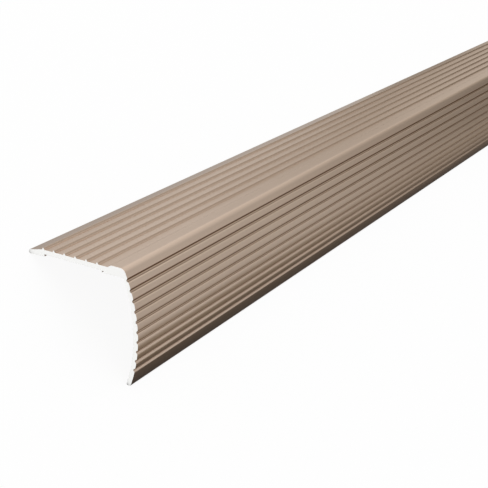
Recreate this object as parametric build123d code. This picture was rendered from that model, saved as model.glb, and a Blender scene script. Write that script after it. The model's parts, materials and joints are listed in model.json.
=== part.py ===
from build123d import *
from math import asin, atan2, cos, degrees, hypot, sin, sqrt
import os

# A metal stair nosing: one straight length of extruded aluminium angle. A ribbed tread leg lies
# on the stair, a bowed and fluted front leg hangs over its edge, and a smooth rounded nose joins
# them. The section is drawn as it is used: "front" points away from the stair and "up" is up.
# Both are measured from the step where the ribbed tread meets the nose, at the nose's top.

# Sizes in millimetres
length = 900.0              # one strip as it is sold
tread_depth = 35.25         # from the nose's step back to the edge of the toe
rib_count = 6
rib_height = 0.58           # above the lands, the flat strips between the ribs
rib_base = 0.95             # width of a rib where it grows out of the tread
rib_top = 0.45              # width of its flat top
rib_setback = 5.7           # from the nose's step to the middle of the nearest rib
step_height = 0.88          # from the lands up to the nose, so the nose stands above the ribs
step_run = 1.55             # how far the step slopes while it climbs to the nose
plate = 1.6                 # tread between the lands and the tape seat
seat_depth = 0.76           # recess under the tread that takes the adhesive tape
seat_setback = 4.1          # from the nose's step to the recess
toe_length = 6.95           # from the toe's edge to the recess
toe_ramp = 6.05             # from the toe's edge up to the level of the lands
toe_thickness = 1.3         # blunt edge of the toe
toe_press = 0.22            # the toe's underside dips this far, to press on the tread
notch_setback = 3.05        # from the nose's step to the small notch beside the recess
notch_width = 0.7
notch_depth = 0.55
nose_radius = 2.3
corner_radius = 0.8         # inside corner between the two legs
drop = 41.5                 # from the nose's top down to the end of the lip
front_reach = 9.75          # from the nose's step forward to the furthest point of the bow
bulge_drop = 21.3           # from the nose's top down to that furthest point
bow_radius = 52.0           # outside of the front leg, over its crests
front_wall = 1.9            # front leg at its furthest point
lip_wall = 1.65             # front leg at its end
groove_count = 10
groove_drop = 3.6           # from the nose's top down to the middle of the first groove
groove_width = 1.35
groove_roof = 0.5           # how far the groove's upper wall slopes on its way to the floor
groove_slope = 0.31         # how far its lower wall slopes
groove_depth = 0.62         # below the crests
shoulder_depth = 0.06       # the crests fall away this far towards the grooves
flute_round = 0.4           # rounded upper edge of each flute
lip_length = 6.7            # from the last groove to the end of the lip

# Levels and positions that follow from the sizes
land = -step_height
ceiling = land - plate
underside = ceiling - seat_depth
toe = -tread_depth
seat_back = toe + toe_length
bow_centre = Vector(front_reach - bow_radius, -bulge_drop)


def on_bow(angle, depth):
    """The point at an angle round the bow, at a depth below its crests."""
    radius = bow_radius - depth
    return bow_centre + Vector(radius * cos(angle), radius * sin(angle))


def bow_angle(level):
    """The angle round the bow at which its crests stand at a level."""
    return asin((level + bulge_drop) / bow_radius)


# The front leg's inside is an arc too, set by the wall at the furthest point and at the lip.
top_corner = on_bow(bow_angle(0), 0)
lip_outside = on_bow(bow_angle(-drop), 0)
lip_inside = lip_outside - Vector(lip_wall, 0)
inside_reach = front_reach - front_wall
retreat = inside_reach - lip_inside.X
inside_radius = (retreat**2 + (drop - bulge_drop)**2) / (2 * retreat)
inside_centre = Vector(inside_reach - inside_radius, -bulge_drop)
rise_to_corner = underside + bulge_drop
inside_corner = Vector(inside_centre.X + sqrt(inside_radius**2 - rise_to_corner**2), underside)

# Grooves at an even spacing round the bow leave a row of gently rounded flutes between them.
first_angle = bow_angle(-groove_drop)
last_angle = bow_angle(-drop) + lip_length / bow_radius
groove_step = (first_angle - last_angle) / (groove_count - 1)


def groove(index):
    """The four corners of one groove, from its upper edge to its lower edge."""
    angle = first_angle - index * groove_step
    edge = groove_width / 2 / bow_radius
    roof = groove_roof / bow_radius
    slope = groove_slope / bow_radius
    upper_depth = 0 if index == 0 else shoulder_depth
    lower_depth = 0 if index == groove_count - 1 else shoulder_depth
    return [
        on_bow(angle + edge, upper_depth),
        on_bow(angle + edge - roof, groove_depth),
        on_bow(angle - edge + slope, groove_depth),
        on_bow(angle - edge, lower_depth),
    ]


def bow_arc(start, middle_angle, end):
    """An arc of the front leg's outside that touches the crests at its middle."""
    return ThreePointArc(start, on_bow(middle_angle, 0), end)


# The outline runs from the nose back over the tread, round the toe and along the underside, down
# the inside of the front leg to the lip, and up its fluted outside to the nose again.
tread_points = [
    top_corner,
    (0, 0),
    (-step_run, land),
    (toe + toe_ramp, land),
    (toe, underside - toe_press + toe_thickness),
    (toe, underside - toe_press),
    (seat_back, underside),
    (seat_back, ceiling),
    (-seat_setback, ceiling),
    (-seat_setback, underside),
    inside_corner,
]
outline = [
    Polyline(*tread_points),
    ThreePointArc(inside_corner, Vector(inside_reach, -bulge_drop), lip_inside),
    Line(lip_inside, lip_outside),
]
lip_corner = groove(groove_count - 1)[-1]
outline.append(bow_arc(lip_outside, (bow_angle(-drop) + last_angle) / 2, lip_corner))
for index in range(groove_count):
    corners = groove(index)
    outline.append(Polyline(*corners))
    if index > 0:
        crest_angle = first_angle - (index - 0.5) * groove_step
        outline.append(bow_arc(groove(index - 1)[-1], crest_angle, corners[0]))
outline.append(bow_arc(top_corner, (bow_angle(0) + first_angle) / 2, groove(0)[0]))
section = make_face(outline)

# Rounded edges: the nose, the inside corner, the toe, the lip and the upper edge of each flute
toe_round = 0.45 * toe_thickness
lip_round = 0.2 * lip_wall
section = fillet(section.vertices().sort_by_distance(top_corner)[0], nose_radius)
section = fillet(section.vertices().sort_by_distance(inside_corner)[0], corner_radius)
section = fillet(section.vertices().sort_by(Axis.X)[:2], toe_round)
section = fillet(section.vertices().sort_by(Axis.Y)[:2], lip_round)
for index in range(groove_count):
    section = fillet(section.vertices().sort_by_distance(groove(index)[-1])[0], flute_round)

# Low ribs along the tread, each with a slightly rounded top, and the notch beside the tape seat
rib_pitch = (tread_depth - toe_ramp - rib_base / 2 - rib_setback) / (rib_count - 1)
root = land - plate / 4
rib = Polygon(
    (-rib_base / 2, root),
    (rib_base / 2, root),
    (rib_base / 2, land),
    (rib_top / 2, land + rib_height),
    (-rib_top / 2, land + rib_height),
    (-rib_base / 2, land),
    align=None,
)
rib = fillet(rib.vertices().sort_by(Axis.Y)[-2:], rib_top / 4)
for index in range(rib_count):
    section += Pos(-rib_setback - index * rib_pitch, 0) * rib
notch = Rectangle(notch_width, notch_depth, align=(Align.MAX, Align.MIN))
section -= Pos(-notch_setback, underside) * notch

# Left on a level floor, the strip rests on its toe and its lip with the nose on top. The floor
# line touches the rounds of both edges.
toe_slope = atan2(toe_press, toe_length)
toe_centre = Vector(toe + toe_round, 0)
toe_centre += Vector(0, underside - toe_press + sin(toe_slope) * toe_round + toe_round / cos(toe_slope))
lip_level = -drop + lip_round
lip_reach = sqrt((inside_radius + lip_round)**2 - (lip_level + bulge_drop)**2)
lip_centre = Vector(inside_centre.X + lip_reach, lip_level)
span = lip_centre - toe_centre
floor_angle = atan2(span.Y, span.X) - asin((lip_round - toe_round) / hypot(span.X, span.Y))
lying = Rot(0, 0, -degrees(floor_angle)) * section

# The strip lies along X with its fluted leg to the front (-Y), centred over the origin.
section_plane = Plane((0, 0, 0), x_dir=(0, -1, 0), z_dir=(-1, 0, 0))
nosing = extrude(section_plane * lying, amount=length / 2, both=True)
box = nosing.bounding_box()
nosing = Pos(-box.center().X, -box.center().Y, -box.min.Z) * nosing

os.makedirs("parts", exist_ok=True)
export_step(nosing, "parts/stair_nosing.step")
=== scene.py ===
# %% [markdown]
# # A metal stair nosing
# A stair nosing is a long strip of aluminium angle that caps the edge of a step. The hot metal is
# pushed through a steel die, so every cut through the strip shows the same section. The strip is then
# brushed satin, anodised to a light bronze and sawn to length. The frame holds it at its real size,
# lying on the floor as it comes to rest. This script draws the section again, much finer, runs it out
# to its length and gives it its finish.

# %% Load the frame
import json
from math import asin, atan2, ceil, cos, degrees, pi, radians, sin, tan

import bmesh
import bpy
from mathutils import Matrix, Vector


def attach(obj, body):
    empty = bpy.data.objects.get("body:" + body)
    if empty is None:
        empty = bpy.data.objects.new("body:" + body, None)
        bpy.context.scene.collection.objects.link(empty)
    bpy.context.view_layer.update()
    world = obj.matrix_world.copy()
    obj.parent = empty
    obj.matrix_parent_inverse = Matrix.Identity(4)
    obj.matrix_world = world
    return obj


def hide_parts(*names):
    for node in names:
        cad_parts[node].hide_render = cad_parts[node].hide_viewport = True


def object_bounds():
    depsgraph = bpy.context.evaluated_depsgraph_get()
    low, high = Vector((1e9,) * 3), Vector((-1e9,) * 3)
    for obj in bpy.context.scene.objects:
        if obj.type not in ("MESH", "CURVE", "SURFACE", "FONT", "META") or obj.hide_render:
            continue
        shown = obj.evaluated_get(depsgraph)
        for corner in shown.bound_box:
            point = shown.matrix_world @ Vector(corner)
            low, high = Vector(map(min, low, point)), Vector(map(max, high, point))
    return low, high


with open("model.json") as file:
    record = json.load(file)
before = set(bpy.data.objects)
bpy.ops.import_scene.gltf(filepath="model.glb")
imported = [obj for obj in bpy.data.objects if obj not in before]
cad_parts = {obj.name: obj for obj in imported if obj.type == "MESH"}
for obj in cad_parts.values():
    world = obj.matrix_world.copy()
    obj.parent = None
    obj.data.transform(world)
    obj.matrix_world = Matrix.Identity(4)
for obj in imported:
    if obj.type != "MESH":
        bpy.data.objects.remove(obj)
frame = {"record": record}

cad_low, cad_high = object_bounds()
near_end = cad_low[0]
far_end = cad_high[0]
print("the strip runs from x =", round(near_end, 3), "to x =", round(far_end, 3), "m")

# %% [markdown]
# ## The sizes of the section
# The section is drawn as the strip is used: "front" points away from the stair and "up" is up. Both
# are counted from the small step where the ribbed tread meets the smooth nose, at the level of the
# nose's top. The tread leg comes first. Its main sizes are those of the solid, and its small rounds
# are what a die leaves.

# %% Sizes of the tread leg
MM = 0.001
tread_depth = 35.25 * MM
rib_count = 6
rib_height = 0.58 * MM
rib_base = 0.95 * MM
rib_top = 0.45 * MM
rib_setback = 5.7 * MM
rib_round = 0.1 * MM
root_round = 0.12 * MM
step_height = 0.88 * MM
step_run = 1.55 * MM
plate = 1.6 * MM
seat_depth = 0.76 * MM
seat_setback = 4.1 * MM
seat_round = 0.12 * MM
toe_length = 6.95 * MM
toe_ramp = 6.05 * MM
toe_thickness = 1.3 * MM
toe_press = 0.22 * MM
toe_round = 0.585 * MM
notch_setback = 3.05 * MM
notch_width = 0.7 * MM
notch_depth = 0.55 * MM

land = -step_height
ceiling = land - plate
underside = ceiling - seat_depth
toe = -tread_depth
toe_low = underside - toe_press
seat_back = toe + toe_length
rib_pitch = (tread_depth - toe_ramp - rib_base / 2 - rib_setback) / (rib_count - 1)
print("ribs stand every", round(rib_pitch / MM, 2), "mm")

# %% [markdown]
# ## The bow of the front leg
# The front leg is bowed outwards: its outside follows one large circle. Places on it are given by an
# angle round the middle of that circle, so two helpers turn a level into an angle and an angle into a
# point. The inside follows a circle of its own, which thins the wall a little towards the lip.

# %% Sizes of the nose and the front leg
nose_radius = 2.3 * MM
corner_radius = 0.8 * MM
drop = 41.5 * MM
front_reach = 9.75 * MM
bulge_drop = 21.3 * MM
bow_radius = 52.0 * MM
front_wall = 1.9 * MM
lip_wall = 1.65 * MM
lip_round = 0.33 * MM
lip_length = 6.7 * MM
bow_centre = Vector((front_reach - bow_radius, -bulge_drop))


def level_angle(up, radius):
    """The angle, seen from the middle of the bow, of a point at a level and a radius."""
    return asin((up + bulge_drop) / radius)


def around(centre, radius, angle):
    """The point at a radius and an angle round a centre."""
    return centre + radius * Vector((cos(angle), sin(angle)))


lip_angle = level_angle(-drop, bow_radius)
lip_inside = around(bow_centre, bow_radius, lip_angle)[0] - lip_wall
inside_reach = front_reach - front_wall
retreat = inside_reach - lip_inside
inside_radius = (retreat**2 + (drop - bulge_drop) ** 2) / (2 * retreat)
inside_centre = Vector((inside_reach - inside_radius, -bulge_drop))
print("the inside of the bow has a radius of", round(inside_radius / MM, 1), "mm")

# %% [markdown]
# ## A pen that draws with mesh operators
# The outline could be typed in as a list of points, but then its rounds would be guesses. Here one
# vertex is the pen. Extruding it draws a straight stretch, and spinning it round a centre draws an
# arc. A rounded corner is a straight stretch that stops short, followed by an arc.

# %% The pen
arc_turn = radians(5)
arc_stretch = 0.8 * MM
section = bmesh.new()
# A layer of the mesh holds painted shade point by point, from 0 for none to 1 for full.
painted_shade = section.verts.layers.float.new("painted_shade")


def on_section(point):
    """A point of the section, in the plane of the near end."""
    return Vector((near_end, -point[0], point[1]))


def pen_at(pen):
    """Where the pen is, as front and up."""
    return Vector((-pen.co.y, pen.co.z))


def draw_line(pen, point):
    """Draws a straight stretch to a point and returns the new pen."""
    tip = bmesh.ops.extrude_vert_indiv(section, verts=[pen])["verts"][0]
    tip.co = on_section(point)
    tip[painted_shade] = 0
    return tip


def draw_arc(pen, centre, angle):
    """Swings the pen round a centre, anticlockwise for a positive angle, and returns the new pen."""
    radius = (pen_at(pen) - centre).length
    steps = max(2, ceil(abs(angle) / arc_turn), ceil(abs(angle) * radius / arc_stretch))
    middle = on_section(centre)
    swung = bmesh.ops.spin(section, geom=[pen], cent=middle, axis=(-1, 0, 0), angle=angle, steps=steps)
    return swung["geom_last"][0]


def draw_corner(pen, corner, following, radius, painted_shade_share):
    """Draws up to a corner and round it, towards the following point, and gives it a share of painted
    shade.
    """
    before = (corner - pen_at(pen)).normalized()
    after = (following - corner).normalized()
    turn = atan2(before[0] * after[1] - before[1] * after[0], before.dot(after))
    start = corner - before * radius * tan(abs(turn) / 2)
    side = Vector((-before[1], before[0])) * (1 if turn > 0 else -1)
    bend = draw_line(pen, start)
    bend[painted_shade] = painted_shade_share
    return draw_arc(bend, start + side * radius, turn)


print("arcs are drawn in steps of", round(degrees(arc_turn)), "degrees or less")

# %% [markdown]
# ## The ribbed tread
# The outline starts on top of the nose and runs back, down a small step and over the ribs that keep a
# shoe from slipping. A rib is a low ridge with a flat top and steep sides, and it stays a little below
# the nose. All its corners go into one list, each with its radius and a share from 0 to 1 of painted
# shade. The front of a rib gets painted shade, most at its upper edge, and a trace of it runs out over
# the land in front. That is why each rib reads as a thin dark line that fades softly towards the front.

# %% Corners of the tread's top
# Shares of painted shade on the front of each rib: a trace at its foot, more at its upper edge.
foot_painted_shade = 0.03
edge_painted_shade = 0.3
corners = [(0, 0, rib_round, 0), (-step_run, land, root_round, 0)]
for index in range(rib_count):
    middle = -rib_setback - index * rib_pitch
    corners += [
        (middle + rib_base / 2, land, root_round, foot_painted_shade),
        (middle + rib_top / 2, land + rib_height, rib_round, edge_painted_shade),
        (middle - rib_top / 2, land + rib_height, rib_round, 0),
        (middle - rib_base / 2, land, root_round, 0),
    ]
print("the ribs add", len(corners) - 2, "corners")

# %% [markdown]
# ## The toe and the underside
# Behind the ribs a ramp runs down to the thin toe, which lies on the stair so that no shoe catches
# it. The outline turns round the toe and comes forward again along the underside. A shallow seat there
# takes the adhesive tape, and a small notch in front of it catches what the tape squeezes out.

# %% Draw the tread leg
corners += [
    (toe, toe_low + toe_thickness, toe_round, 0),
    (toe, toe_low, toe_round, 0),
    (seat_back, underside, seat_round, 0),
    (seat_back, ceiling, seat_round, 0),
    (-seat_setback, ceiling, seat_round, 0),
    (-seat_setback, underside, seat_round, 0),
    (-notch_setback - notch_width, underside, seat_round, 0),
    (-notch_setback - notch_width, underside + notch_depth, seat_round, 0),
    (-notch_setback, underside + notch_depth, seat_round, 0),
    (-notch_setback, underside, seat_round, 0),
]
nose_angle = level_angle(-nose_radius, bow_radius - nose_radius)
nose_centre = around(bow_centre, bow_radius - nose_radius, nose_angle)
fillet_angle = level_angle(underside - corner_radius, inside_radius - corner_radius)
fillet_centre = around(inside_centre, inside_radius - corner_radius, fillet_angle)

first = section.verts.new(on_section((nose_centre[0], 0)))
pen = first
stops = [Vector(corner[:2]) for corner in corners] + [Vector((fillet_centre[0], underside))]
for stop, following, corner in zip(stops, stops[1:], corners):
    pen = draw_corner(pen, stop, following, *corner[2:])
pen = draw_line(pen, stops[-1])
print("the tread leg is drawn with", len(section.verts), "points")

# %% [markdown]
# ## The inside and the lip
# The outline goes on round the inner corner, down the inside of the front leg and round the lip at
# the bottom. Every arc starts where the last one ended and in the same direction, so the leg has no
# kinks that would show as streaks in satin metal.

# %% Draw the inside and the lip
lip_in_angle = level_angle(lip_round - drop, inside_radius + lip_round)
lip_in_centre = around(inside_centre, inside_radius + lip_round, lip_in_angle)
lip_out_angle = level_angle(lip_round - drop, bow_radius - lip_round)
lip_out_centre = around(bow_centre, bow_radius - lip_round, lip_out_angle)
pen = draw_arc(pen, fillet_centre, fillet_angle - pi / 2)
pen = draw_arc(pen, inside_centre, lip_in_angle - fillet_angle)
pen = draw_arc(pen, lip_in_centre, pi / 2 - lip_in_angle)
pen = draw_line(pen, (lip_out_centre[0], -drop))
pen = draw_arc(pen, lip_out_centre, pi / 2 + lip_out_angle)
print("the lip is", round(lip_wall / MM, 2), "mm thick")

# %% [markdown]
# ## The flutes
# The outside of the bow is cut by narrow grooves, and between two grooves stands a flute. A flute is
# a nearly flat arc that touches the bow at its crest. Each groove has a slanting roof under the flute
# above it, a small flat floor and a steep lower wall. The points of the roof are marked in a layer of
# the mesh, so that painted shade can darken the roof, which lies in the shade of the flute above.

# %% Sizes of a groove and a flute
groove_count = 10
groove_drop = 3.6 * MM
groove_width = 1.35 * MM
groove_roof = 0.5 * MM
groove_slope = 0.31 * MM
groove_depth = 0.62 * MM
shoulder_depth = 0.06 * MM
first_groove = level_angle(-groove_drop, bow_radius)
last_groove = lip_angle + lip_length / bow_radius
groove_step = (first_groove - last_groove) / (groove_count - 1)

edge_turn = groove_width / 2 / bow_radius
roof_turn = edge_turn - groove_roof / bow_radius
slope_turn = edge_turn - groove_slope / bow_radius
half_flute = groove_step / 2 - edge_turn
half_chord = (bow_radius - shoulder_depth) * sin(half_flute)
crown = bow_radius - (bow_radius - shoulder_depth) * cos(half_flute)
flute_radius = (half_chord**2 + crown**2) / (2 * crown)
flute_turn = 2 * atan2(half_chord, flute_radius - crown)
print("flutes stand every", round(groove_step * bow_radius / MM, 2), "mm")
print("a flute's own radius is", round(flute_radius / MM, 2), "mm")

# %% [markdown]
# ## Draw the flutes
# The pen climbs the front leg from the lip to the nose. At each groove it steps in along the lower wall,
# crosses the floor and comes out along the roof. Between two grooves one arc draws the whole flute.
# Painted shade covers most of a groove's roof and the upper part of its floor, and fades out towards the
# outer edge of the roof and the lower part of the floor. The ends of each flute are kept in two lists, to
# be rounded in the next step. At the top the outline meets its own start.

# %% Draw the flutes and close the outline
# Shares along a groove's floor and roof: the painted shade starts at the first and stays full up to the
# second.
floor_clear_share = 0.3
roof_shaded_share = 0.7
join_gap = 0.01 * MM
pen = draw_arc(pen, bow_centre, last_groove - edge_turn - lip_out_angle)
flute_tops = [pen]
flute_feet = []
for index in reversed(range(groove_count)):
    angle = first_groove - index * groove_step
    top_depth = shoulder_depth if index else 0
    floor_start = around(bow_centre, bow_radius - groove_depth, angle - slope_turn)
    floor_end = around(bow_centre, bow_radius - groove_depth, angle + roof_turn)
    roof_end = around(bow_centre, bow_radius - top_depth, angle + edge_turn)
    for point in (floor_start, floor_start.lerp(floor_end, floor_clear_share)):
        pen = draw_line(pen, point)
    # The upper floor and most of the roof get full painted shade.
    for point in (floor_end, floor_end.lerp(roof_end, roof_shaded_share)):
        pen = draw_line(pen, point)
        pen[painted_shade] = 1
    pen = draw_line(pen, roof_end)
    flute_feet += [pen]
    if index:
        crest = around(bow_centre, bow_radius - flute_radius, angle + groove_step / 2)
        pen = draw_arc(pen, crest, flute_turn)
        flute_tops += [pen]
pen = draw_arc(pen, bow_centre, nose_angle - first_groove - edge_turn)
pen = draw_arc(pen, nose_centre, pi / 2 - nose_angle)
bmesh.ops.remove_doubles(section, verts=[first, pen], dist=join_gap)
print("the outline is closed with", len(section.verts), "points")

# %% [markdown]
# ## From the outline to the strip
# No die cuts a knife edge, so each flute gets a round on its upper edge, which catches the light, and a
# smaller one on its foot. Then the outline is filled with one face, and that face is pushed out to the
# strip's length, as the press does with the metal. The rims at the two sawn ends are broken by a hair,
# as a file leaves them.

# %% Fill and push out
top_round = 0.36 * MM
foot_round = 0.12 * MM
rim_break = 0.06 * MM
round_steps = 6
end_turn = radians(60)


def is_sawn(face):
    """True for a face that looks along the strip: a sawn end or its broken rim."""
    return abs(face.normal.x) > cos(end_turn)


for points, size in ((flute_tops, top_round), (flute_feet, foot_round)):
    bmesh.ops.bevel(
        section, geom=points, offset=size, affect="VERTICES", segments=round_steps, profile=0.5, material=-1
    )
bmesh.ops.contextual_create(section, geom=section.edges[:])
pushed = bmesh.ops.extrude_face_region(section, geom=section.faces[:])
moved = [item for item in pushed["geom"] if isinstance(item, bmesh.types.BMVert)]
bmesh.ops.translate(section, verts=moved, vec=(far_end - near_end, 0, 0))
bmesh.ops.recalc_face_normals(section, faces=section.faces[:])
ends = [face for face in section.faces if is_sawn(face)]
rims = {edge for face in ends for edge in face.edges}
bmesh.ops.bevel(
    section, geom=list(rims), offset=rim_break, affect="EDGES", segments=1, profile=0.5, material=-1
)
print("the strip has", len(section.faces), "faces")

# %% [markdown]
# ## Lay the strip down
# The strip was drawn as it is used, with its tread level. On a floor it would tip over onto its toe
# and its lip, and that is how the frame stores it. The record says where the tape seat is and which
# way it faces, and that gives the turn and the place.

# %% Lay the strip down
seat = next(mount for mount in frame["record"]["mounts"] if mount["name"] == "tape_seat")
lie_turn = atan2(seat["axis"][1], seat["axis"][2]) - pi
seat_as_used = Vector((0, (seat_setback - seat_back) / 2, ceiling))
lie = Matrix.Rotation(-lie_turn, 4, "X")
lie = Matrix.Translation(Vector(seat["pos_m"]) - lie @ seat_as_used) @ lie
bmesh.ops.transform(section, matrix=lie, verts=section.verts[:])
print("the strip is turned by", round(degrees(-lie_turn) % 360, 2), "degrees about its length")

# %% [markdown]
# ## Make the strip an object
# Long narrow faces need care in shading. All faces are smooth, edges that turn by more than 30 degrees
# are kept sharp, and weighted normals let the large faces decide how the small rounds next to them
# shade. The object rides on the root and replaces the plainer solid of the frame.

# %% Make the strip an object
sharp_turn = radians(30)
strip_mesh = bpy.data.meshes.new("nosing_strip")
section.to_mesh(strip_mesh)
section.free()
strip = bpy.data.objects.new("nosing_strip", strip_mesh)
bpy.context.scene.collection.objects.link(strip)
for face in strip_mesh.polygons:
    face.use_smooth = True
strip_mesh.set_sharp_from_angle(angle=sharp_turn)
even_shade = strip.modifiers.new("even_shade", "WEIGHTED_NORMAL")
even_shade.keep_sharp = True
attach(strip, "root")
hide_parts("stair_nosing")
print("the strip is", [round(size, 4) for size in strip.dimensions], "m")

# %% [markdown]
# ## Helpers for node trees
# The finishes are made of nodes: small boxes that pass numbers and colours on to each other. A few
# helpers keep the steps below short. They add a node, stretch a range of numbers to another one,
# combine two numbers or colours, make a noise, a row of colours or a fine relief, and start a metal.

# %% Helpers for node trees
def add_node(tree, kind, **inputs):
    """Adds a node and sets the inputs named, with a space written as an underscore."""
    node = tree.nodes.new(kind)
    for name, value in inputs.items():
        node.inputs[name.replace("_", " ")].default_value = value
    return node


def stretch(tree, source, from_low, from_high, to_low, to_high):
    """Stretches a range of numbers to another one and returns the output."""
    node = add_node(tree, "ShaderNodeMapRange", From_Min=from_low, From_Max=from_high)
    node.inputs["To Min"].default_value = to_low
    node.inputs["To Max"].default_value = to_high
    tree.links.new(source, node.inputs["Value"])
    return node.outputs[0]


def combine(tree, operation, first_source, second_source, kind="ShaderNodeMath"):
    """Combines two numbers or two colours, for example by multiplying them, and returns the output."""
    node = tree.nodes.new(kind)
    node.operation = operation
    tree.links.new(first_source, node.inputs[0])
    tree.links.new(second_source, node.inputs[1])
    return node.outputs[0]


def speckle(tree, source, scale, detail):
    """Adds a noise whose grains have the scale given for x, y and z, and returns the output."""
    size = add_node(tree, "ShaderNodeMapping", Scale=scale)
    noise = add_node(tree, "ShaderNodeTexNoise", Scale=1, Detail=detail)
    tree.links.new(source, size.inputs["Vector"])
    tree.links.new(size.outputs[0], noise.inputs["Vector"])
    return noise.outputs[0]


def row_of_colours(tree, source, stops):
    """Adds a ramp that runs through colours, each with its place from 0 to 1, and returns the output."""
    ramp = tree.nodes.new("ShaderNodeValToRGB")
    ramp.color_ramp.elements.remove(ramp.color_ramp.elements[1])
    for index, (position, colour) in enumerate(stops):
        stop = ramp.color_ramp.elements.new(position) if index else ramp.color_ramp.elements[0]
        stop.position = position
        stop.color = (*colour, 1)
    tree.links.new(source, ramp.inputs[0])
    return ramp.outputs["Color"]


def emboss(tree, source, strength, depth):
    """Turns the light and dark of a pattern into a fine relief and returns the output."""
    node = add_node(tree, "ShaderNodeBump", Strength=strength, Distance=depth)
    tree.links.new(source, node.inputs["Height"])
    return node.outputs[0]


def start_metal(name):
    """Makes a fully metallic material and returns it with its node tree and its shader."""
    material = bpy.data.materials.new(name)
    material.use_nodes = True
    shader = material.node_tree.nodes["Principled BSDF"]
    shader.inputs["Metallic"].default_value = 1.0
    return material, material.node_tree, shader


print("helpers ready: add_node, stretch, combine, speckle, row_of_colours, emboss, start_metal")

# %% [markdown]
# ## The bronze finish
# Anodising grows a thin clear skin of oxide on the metal, and a bronze dye is sealed into it. What is
# seen is still metal, so the shader is fully metallic with a bronze colour. The die leaves faint
# scratches along the whole strip: a noise that is stretched along x. They turn the roughness and the
# bump a little. A broad, faint noise keeps the dye from being perfectly even.

# %% The bronze finish
bronze_light = (0.56, 0.442, 0.354)
bronze_deep = (0.535, 0.418, 0.332)
satin_smooth = 0.28
satin_rough = 0.34
die_line_grain = (14, 2600, 2600)
dye_cloud_grain = (9, 60, 60)
noise_low = 0.3
noise_high = 0.7
die_line_relief = 0.12
relief_depth = 0.01 * MM

finish, tree, metal = start_metal("light_bronze_anodising")
place = tree.nodes.new("ShaderNodeTexCoord").outputs["Object"]
die_lines = speckle(tree, place, die_line_grain, detail=2)
dye_clouds = speckle(tree, place, dye_cloud_grain, detail=1)
satin = stretch(tree, die_lines, noise_low, noise_high, satin_smooth, satin_rough)
tree.links.new(satin, metal.inputs["Roughness"])
tree.links.new(emboss(tree, die_lines, die_line_relief, relief_depth), metal.inputs["Normal"])
bronze = row_of_colours(tree, dye_clouds, [(noise_low, bronze_deep), (noise_high, bronze_light)])
print("the bronze finish has", len(tree.nodes), "nodes so far")

# %% [markdown]
# ## Painted shade in the grooves and on the ribs
# The roofs of the grooves lie in the shade of the flutes above them, and the front of each rib is a little
# shaded too. That shade is painted into the finish. The layer that was drawn with the outline is read here:
# it is 1 on a roof, low on the front of a rib and 0 on the open faces. The painted shade goes into the
# metal's colour, and into the colour of its glancing reflections, or these would stay pale.

# %% Painted shade in the grooves and on the ribs
white = (1, 1, 1)
# The colour of full painted shade, which darkens and browns the bronze and its reflections.
groove_painted_shade = (0.33, 0.23, 0.1)
shade = tree.nodes.new("ShaderNodeAttribute")
shade.attribute_name = "painted_shade"
painted_shade_tint = row_of_colours(tree, shade.outputs["Fac"], [(0, white), (1, groove_painted_shade)])
shaded_bronze = combine(tree, "MULTIPLY", bronze, painted_shade_tint, kind="ShaderNodeVectorMath")
tree.links.new(shaded_bronze, metal.inputs["Base Color"])
tree.links.new(painted_shade_tint, metal.inputs["Specular Tint"])
strip_mesh.materials.append(finish)
print("a groove's roof keeps", round(100 * groove_painted_shade[0]), "percent of the red light")

# %% [markdown]
# ## The sawn ends
# The strip was cut after it was anodised, so the ends show bare aluminium, much paler than the bronze.
# A saw leaves fine lines side by side. Here they are bands of a wave, bent a little so that they don't
# look printed, and they go into the colour, the roughness and the bump.

# %% The sawn ends
saw_line_width = 0.3 * MM
saw_line_bend = 3
saw_line_relief = 0.2
band_width = pi / 10  # of Blender's wave at a scale of 1
bare_bright = (0.98, 0.98, 0.965)
bare_dull = (0.94, 0.94, 0.925)
bare_smooth = 0.4
bare_rough = 0.5

sawn, tree, metal = start_metal("sawn_aluminium")
place = tree.nodes.new("ShaderNodeTexCoord").outputs["Object"]
wave = add_node(tree, "ShaderNodeTexWave", Scale=band_width / saw_line_width, Distortion=saw_line_bend)
wave.bands_direction = "Z"
tree.links.new(place, wave.inputs["Vector"])
saw_lines = wave.outputs["Fac"]
bare = row_of_colours(tree, saw_lines, [(0, bare_dull), (1, bare_bright)])
tree.links.new(bare, metal.inputs["Base Color"])
tree.links.new(stretch(tree, saw_lines, 0, 1, bare_rough, bare_smooth), metal.inputs["Roughness"])
tree.links.new(emboss(tree, saw_lines, saw_line_relief, relief_depth), metal.inputs["Normal"])

strip_mesh.materials.append(sawn)
sawn_faces = [face for face in strip_mesh.polygons if is_sawn(face)]
for face in sawn_faces:
    face.material_index = 1
print(len(sawn_faces), "faces are bare metal")

# %% [markdown]
# ## The floor
# The strip lies on white paper, which is one large flat face. A grid with a single square makes it.
# It belongs to the studio and not to the strip.

# %% Lay the floor
floor_reach = 4
floor_mesh = bpy.data.meshes.new("floor")
floor_build = bmesh.new()
bmesh.ops.create_grid(floor_build, x_segments=1, y_segments=1, size=floor_reach)
floor_build.to_mesh(floor_mesh)
floor_build.free()
floor = bpy.data.objects.new("floor", floor_mesh)
bpy.context.scene.collection.objects.link(floor)
print("the floor is", floor.dimensions[0], "m wide")

# %% [markdown]
# ## The tones that the metal mirrors
# Satin metal shows what it mirrors, and here that is the floor as much as the room. The paper's tones
# are painted shade that only the metal's reflections see. A brown band lies in front of the lip, where a
# photographer would lay a brown card to give the fluted front its depth. It turns black at the lip, the
# paper under the strip and behind the toe gets painted shadow, and then it is white. This step makes that
# row of tones across the paper. Places in the row run from 0 to 1.

# %% The tones that the metal mirrors
shade_band_width = 0.57
shade_band_fade = 0.055
shade_band_hem = 0.011
shade_band_near = (0.028, 0.012, 0.0)
shade_band_far = (0.255, 0.195, 0.115)
past_shade_band = (0.9, 0.9, 0.9)
under_lip = (0, 0, 0)
under_strip = (0.5, 0.5, 0.5)
behind_toe = (0.53, 0.52, 0.51)
toe_fade = 0.07
quick_change = 0.01
tone_reach = 0.1

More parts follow.
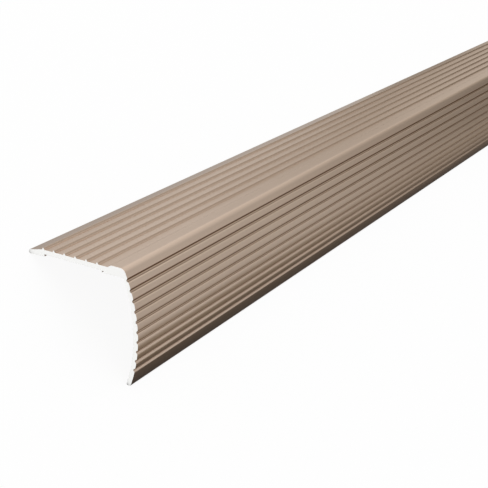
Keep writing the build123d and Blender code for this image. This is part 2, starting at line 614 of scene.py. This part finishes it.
paper = bpy.data.materials.new("white_paper")
paper.use_nodes = True
tree = paper.node_tree
tree.nodes.remove(tree.nodes["Principled BSDF"])
place = tree.nodes.new("ShaderNodeTexCoord").outputs["Object"]
sides = tree.nodes.new("ShaderNodeSeparateXYZ")
tree.links.new(place, sides.inputs[0])
row_start = cad_low[1] - shade_band_width
row_end = cad_high[1] + tone_reach
across = stretch(tree, sides.outputs["Y"], row_start, row_end, 0, 1)
lip_place = shade_band_width / (row_end - row_start)
toe_place = 1 - tone_reach / (row_end - row_start)
# Painted shade across the paper, seen only in reflections: dark band, black lip line, painted shadow under
# the strip.
tones = [
    (0, past_shade_band),
    (quick_change, shade_band_far),
    (lip_place - shade_band_fade, shade_band_far),
    (lip_place - shade_band_hem, shade_band_near),
    (lip_place, under_lip),
    (lip_place + quick_change, under_strip),
    (toe_place, behind_toe),
    (toe_place + toe_fade, white),
]
across_tone = row_of_colours(tree, across, tones)
print("the card's tone reaches", round(shade_band_width, 2), "m out from the lip")

# %% [markdown]
# ## Half light along the strip
# A second row dims the paper along the strip, so that the tread doesn't shine evenly from end to end. It
# starts a little past the near end and is darkest just before the strip's middle. At each place the
# darker of the two rows counts. Outside the near end the paper stays white for the sawn end to mirror.

# %% Half light along the strip
half_light_start = -0.3
half_light_end = 0.1
half_light = [
    (0, white),
    (0.1, (0.92, 0.905, 0.885)),
    (0.22, (0.64, 0.61, 0.57)),
    (0.36, (0.36, 0.325, 0.28)),
    (0.55, (0.32, 0.28, 0.235)),
    (0.75, (0.50, 0.46, 0.40)),
    (0.9, (0.64, 0.59, 0.53)),
]
along = stretch(tree, sides.outputs["X"], half_light_start, half_light_end, 0, 1)
along_tone = row_of_colours(tree, along, half_light)
darker = combine(tree, "MINIMUM", across_tone, along_tone, kind="ShaderNodeVectorMath")
before_end = stretch(tree, sides.outputs["X"], near_end - MM, near_end, 1, 0)
mirrored = combine(tree, "MAXIMUM", darker, before_end, kind="ShaderNodeVectorMath")
print("the half light starts", round(half_light_start - near_end, 2), "m from the near end")

# %% [markdown]
# ## Who sees which floor
# Light Path says what kind of ray is asking. Camera rays get plain white, and rays that come from shiny
# or glassy things get the tones. A small share stays real paper in real light, so that the strip keeps
# its soft shadow on the floor.

# %% Who sees which floor
paper_share = 0.07
paper_colour = (0.8, 0.8, 0.8, 1)
path = tree.nodes.new("ShaderNodeLightPath").outputs
glow = tree.nodes.new("ShaderNodeEmission")
seen_tone = combine(tree, "MAXIMUM", mirrored, path["Is Camera Ray"], kind="ShaderNodeVectorMath")
tree.links.new(seen_tone, glow.inputs["Color"])
shiny = combine(tree, "MAXIMUM", path["Is Glossy Ray"], path["Is Transmission Ray"])
seen = combine(tree, "MAXIMUM", path["Is Camera Ray"], shiny)
matt = add_node(tree, "ShaderNodeBsdfDiffuse", Color=paper_colour)
mixed = tree.nodes.new("ShaderNodeMixShader")
tree.links.new(stretch(tree, seen, 0, 1, 0, 1 - paper_share), mixed.inputs[0])
tree.links.new(matt.outputs[0], mixed.inputs[1])
tree.links.new(glow.outputs[0], mixed.inputs[2])
tree.links.new(mixed.outputs[0], tree.nodes["Material Output"].inputs["Surface"])
floor_mesh.materials.append(paper)
print("the floor keeps", round(100 * paper_share), "percent of its real light and shadow")

# %% [markdown]
# ## The studio around it
# The rest of what the metal mirrors is the room: pale walls and a pale ceiling. The world is that room.
# It is brighter behind the strip than in front of it. Far off along the strip it gets dimmer and warmer,
# more so in front than behind, so that the strip fades towards its far end. For the camera it is plain
# white. A zone is given by parts of a direction: 1 is straight along the strip or straight back.

# %% The studio around it
front_light = 0.78
back_light = 1.2
turn_zone = (-0.6, 0.6)
front_fade_zone = (0.82, 0.95)
back_fade_zone = (0.74, 0.98)
back_rest = 0.5
side_zone = (0.1, 0.45)
warm_wall = (1.0, 0.84, 0.58)

world = bpy.data.worlds.new("studio")
world.use_nodes = True
tree = world.node_tree
room = tree.nodes["Background"]
way = tree.nodes.new("ShaderNodeTexCoord").outputs["Generated"]
sides = tree.nodes.new("ShaderNodeSeparateXYZ")
tree.links.new(way, sides.inputs[0])
back = stretch(tree, sides.outputs["Y"], *turn_zone, 0, 1)
brightness = stretch(tree, combine(tree, "MULTIPLY", back, back), 0, 1, front_light, back_light)
far_front = stretch(tree, sides.outputs["X"], *front_fade_zone, 1, 0)
far_back = stretch(tree, sides.outputs["X"], *back_fade_zone, 1, back_rest)
far_off = add_node(tree, "ShaderNodeMix")
tree.links.new(stretch(tree, sides.outputs["Y"], *side_zone, 0, 1), far_off.inputs["Factor"])
tree.links.new(far_front, far_off.inputs["A"])
tree.links.new(far_back, far_off.inputs["B"])
level = combine(tree, "MULTIPLY", brightness, far_off.outputs["Result"])
walls = row_of_colours(tree, far_off.outputs["Result"], [(0, warm_wall), (1, white)])
path = tree.nodes.new("ShaderNodeLightPath").outputs
tree.links.new(combine(tree, "MAXIMUM", level, path["Is Camera Ray"]), room.inputs["Strength"])
seen_walls = combine(tree, "MAXIMUM", walls, path["Is Camera Ray"], kind="ShaderNodeVectorMath")
tree.links.new(seen_walls, room.inputs["Color"])
bpy.context.scene.world = world
print("the room has", len(tree.nodes), "nodes")

# %% [markdown]
# ## One soft lamp
# A large softbox above and behind the strip gives it a gentle shadow and a soft gleam on the nose. Its
# size is what makes the light soft. Its power is low, so that colours come out about as written.

# %% The softbox
lamp_place = Vector((-0.2, 0.4, 1.4))
lamp_target = Vector((-0.2, 0, 0))
lamp_width = 1.2
lamp_power = 6
lamp = bpy.data.lights.new("softbox", "AREA")
lamp.shape = "SQUARE"
lamp.size = lamp_width
lamp.energy = lamp_power
softbox = bpy.data.objects.new("softbox", lamp)
softbox.location = lamp_place
softbox.rotation_euler = (lamp_target - lamp_place).to_track_quat("-Z", "Y").to_euler()
bpy.context.scene.collection.objects.link(softbox)
print("the softbox gives", lamp.energy, "W from", round((lamp_target - lamp_place).length, 2), "m away")

# %% [markdown]
# ## The camera
# The photo was taken close to the near end, from above and in front. The camera's place was worked out
# from the strip's own straight edges, as the strip is used, so the camera is laid down by the same turn
# as the strip. In the picture the tread then looks level again.

# %% The camera
photo_size = 488
photo_focal = 1051.8
pitch = radians(21.88)
yaw = radians(32.64)
from_step = Vector((-234.5, -200.1, 130.0)) * MM

ahead = Vector((cos(yaw) * cos(pitch), sin(yaw) * cos(pitch), -sin(pitch)))
right = Vector((sin(yaw), -cos(yaw), 0))
above = right.cross(ahead)
as_used = Matrix((right, above, -ahead)).transposed().to_4x4()
as_used.translation = from_step + Vector((near_end, 0, 0))
lens = bpy.data.cameras.new("photo_camera")
lens.sensor_width = 36
lens.lens = lens.sensor_width * photo_focal / photo_size
lens.clip_start = 0.01
camera = bpy.data.objects.new("photo_camera", lens)
camera.matrix_world = lie @ as_used
bpy.context.scene.collection.objects.link(camera)
bpy.context.scene.camera = camera
bpy.context.scene.view_settings.view_transform = "Standard"
print("the lens is", round(lens.lens, 1), "mm long")
